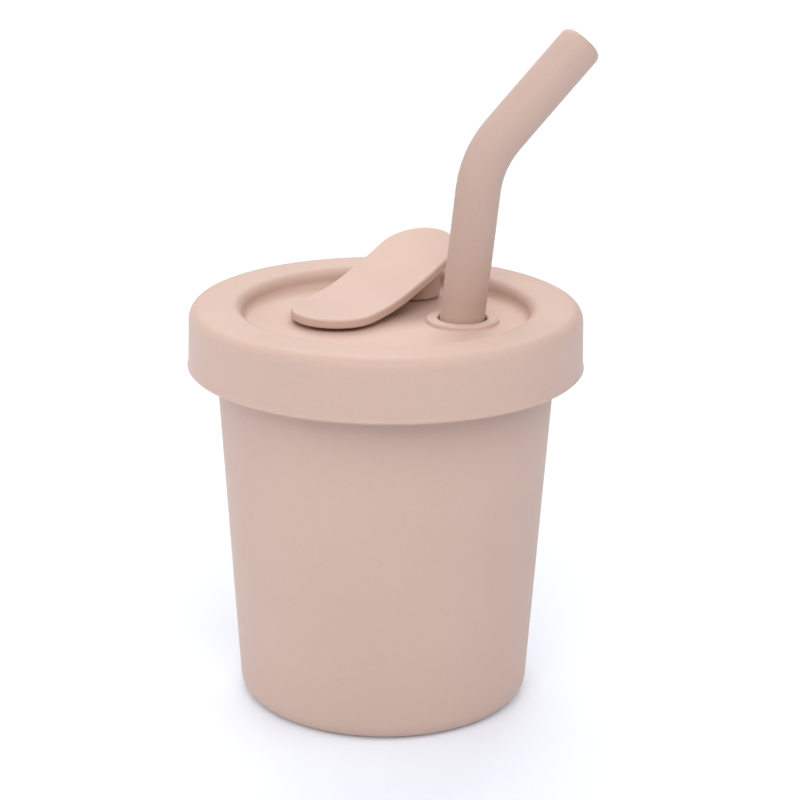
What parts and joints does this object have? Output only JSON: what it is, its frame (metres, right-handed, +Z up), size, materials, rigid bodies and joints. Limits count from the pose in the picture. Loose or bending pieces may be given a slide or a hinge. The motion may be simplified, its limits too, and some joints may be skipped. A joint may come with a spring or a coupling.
{
  "type": "sippy cup",
  "caption": "Tapered silicone drinking cup with a stretch-on lid, a bent straw and a swivelling stopper tab for the straw hole.",
  "frame": {"origin": "centre of the cup's base, on the surface that it stands on", "axes": "+Z up along the cup's axis; +X from the centre towards the straw's hole in the lid; the stopper tab is parked towards +Y"},
  "size_m": [0.0855, 0.084, 0.1437],
  "materials": {
    "silicone_cup": "matte blush-beige silicone",
    "silicone_lid": "matte blush-beige silicone",
    "silicone_straw": "satin blush-beige silicone",
    "silicone_tab": "matte blush-beige silicone"
  },
  "bodies": {
    "cup": {"cup_body": "silicone_cup"},
    "lid": {"lid": "silicone_lid"},
    "straw": {"straw": "silicone_straw"},
    "tab": {"stopper_tab": "silicone_tab"}
  },
  "joints": [
    {"name": "lid_lift", "type": "slide", "parent": "cup", "child": "lid", "axis": [0, 0, 1], "range_m": [0, 0.09]},
    {"name": "straw_pull", "type": "slide", "parent": "lid", "child": "straw", "axis": [0.1031, 0.0375, 0.994], "range_m": [0, 0.084]},
    {"name": "tab_swivel", "type": "hinge", "parent": "lid", "child": "tab", "pos_m": [-0.0105, 0, 0.083], "axis": [0, 0, 1], "range_deg": [-18, 12]}
  ]
}
